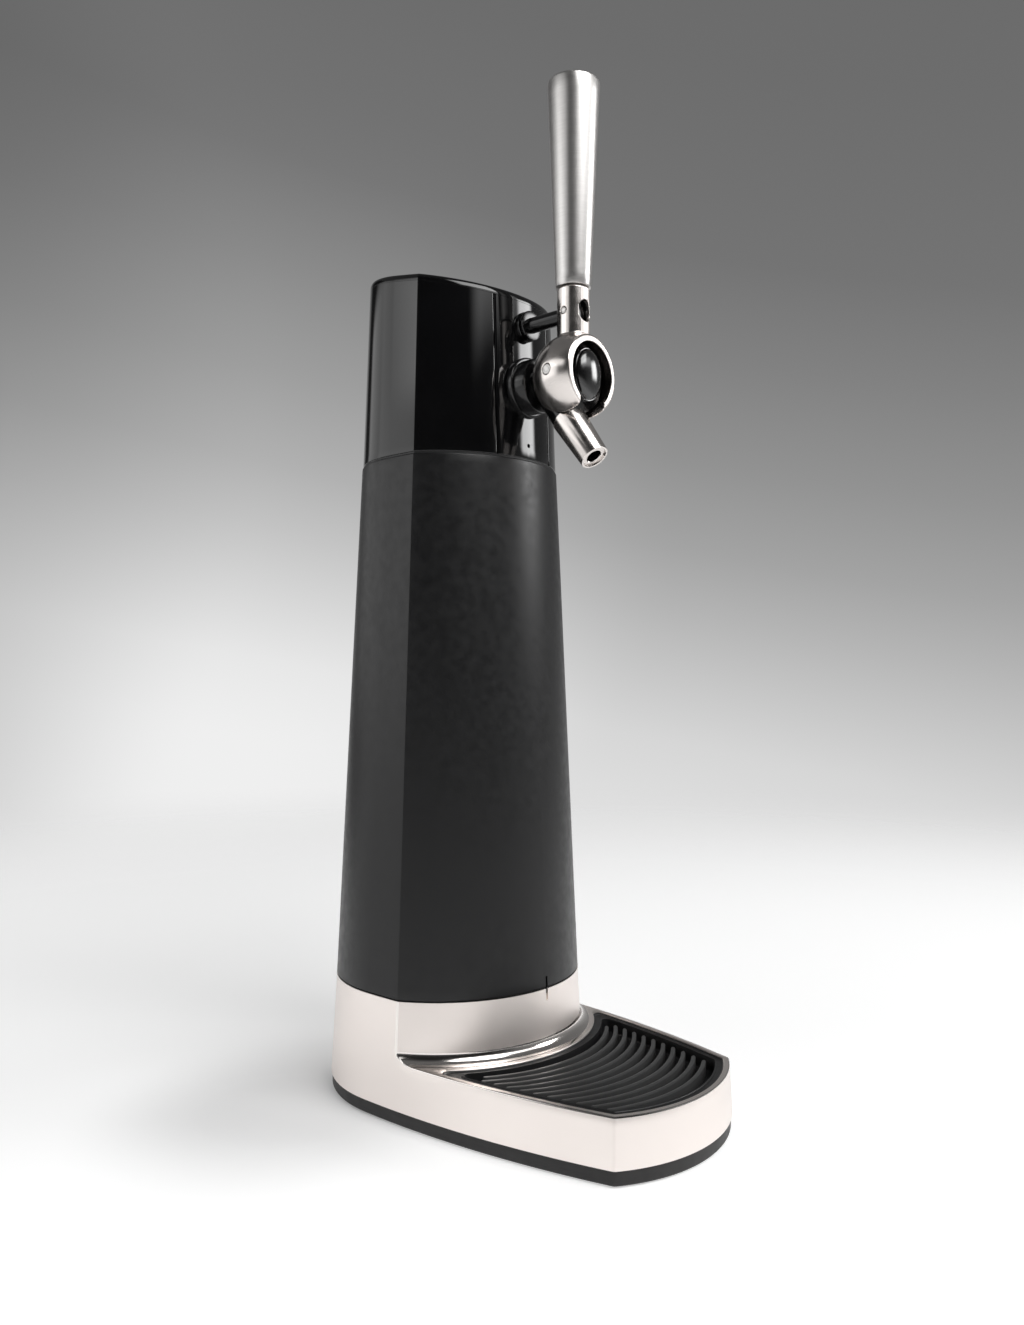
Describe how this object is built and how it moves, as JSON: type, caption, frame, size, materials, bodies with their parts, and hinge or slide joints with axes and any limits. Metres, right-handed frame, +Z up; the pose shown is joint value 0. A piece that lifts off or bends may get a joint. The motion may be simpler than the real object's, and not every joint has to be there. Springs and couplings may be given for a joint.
{
  "type": "can and bottle beer dispenser",
  "caption": "Free-standing drink dispenser: tapered charcoal tower with gloss head and lever tap, lifting off a nickel base with a bottle well and ribbed drip tray.",
  "frame": {"origin": "on the table, under the middle of the outline", "axes": "+Z up, the tap and drip tray face -Y, +X to the right seen from the front"},
  "size_m": [0.1112, 0.1815, 0.4165],
  "materials": {
    "rubber": "matte",
    "plinth_black": "fine texture",
    "nickel": "satin nickel",
    "sleeve_charcoal": "soft touch",
    "head_gloss": "piano black",
    "tray_black": "satin",
    "tap_black": "gloss",
    "handle_steel": "fine brushed",
    "pin_steel": "turned",
    "screw_steel": "plain",
    "motor_steel": "drawn",
    "inner_black": "moulded",
    "inner_grey": "moulded",
    "tube_clear": "milky",
    "brass": "plain",
    "board_green": "solder mask",
    "cell_jacket": "printed film, bare"
  },
  "bodies": {
    "base": {"rubber_feet": "rubber", "foot_plinth": "plinth_black", "base_screws": "screw_steel", "base_shell": "nickel", "bottle_pad": "rubber", "base_gasket": "rubber"},
    "tray": {"drip_tray": "tray_black"},
    "tower": {"tower_sleeve": "sleeve_charcoal", "head_shell": "head_gloss", "head_top": "head_gloss", "head_front_panel": "head_gloss", "head_floor": "inner_black", "floor_screws": "screw_steel", "neck_seal": "rubber", "pickup_tube": "tube_clear", "beer_line": "tube_clear", "faucet_body": "tap_black", "shank_nut": "screw_steel", "core_cap": "tap_black", "spout": "nickel", "rod_bushing": "tap_black", "switch_bracket": "inner_black", "pour_switch": "inner_grey", "foam_switch": "inner_grey", "foam_disc": "brass", "pump_motor": "motor_steel", "pump_head": "inner_black", "air_line": "tube_clear", "circuit_board": "board_green", "battery_tray": "inner_black", "batteries": "cell_jacket"},
    "cover": {"battery_cover": "head_gloss"},
    "lever": {"tap_shell": "nickel", "pivot_pins": "pin_steel", "rod_pin": "pin_steel", "handle_stud": "screw_steel", "tap_handle": "handle_steel"},
    "rod": {"push_rod": "tap_black", "rod_cam": "inner_grey", "return_springs": "screw_steel"}
  },
  "joints": [
    {"name": "tower_lift", "type": "slide", "parent": "base", "child": "tower", "axis": [0, 0, 1], "range_m": [0, 0.26]},
    {"name": "tray_lift", "type": "slide", "parent": "base", "child": "tray", "axis": [0, 0, 1], "range_m": [0, 0.03]},
    {"name": "cover_pull", "type": "slide", "parent": "tower", "child": "cover", "axis": [0, 1, 0], "range_m": [0, 0.03]},
    {"name": "tap_pivot", "type": "hinge", "parent": "tower", "child": "lever", "pos_m": [0, -0.028, 0.2965], "axis": [1, 0, 0], "range_deg": [-10, 12], "stiffness_Nm_per_rad": 1.2},
    {"name": "rod_slide", "type": "slide", "parent": "tower", "child": "rod", "axis": [0, -1, 0], "range_m": [-0.0046, 0.0055], "deforming": ["return_springs"]}
  ],
  "couplings": [
    {"joint": "rod_slide", "follows": "tap_pivot", "m_per_rad": 0.026}
  ]
}
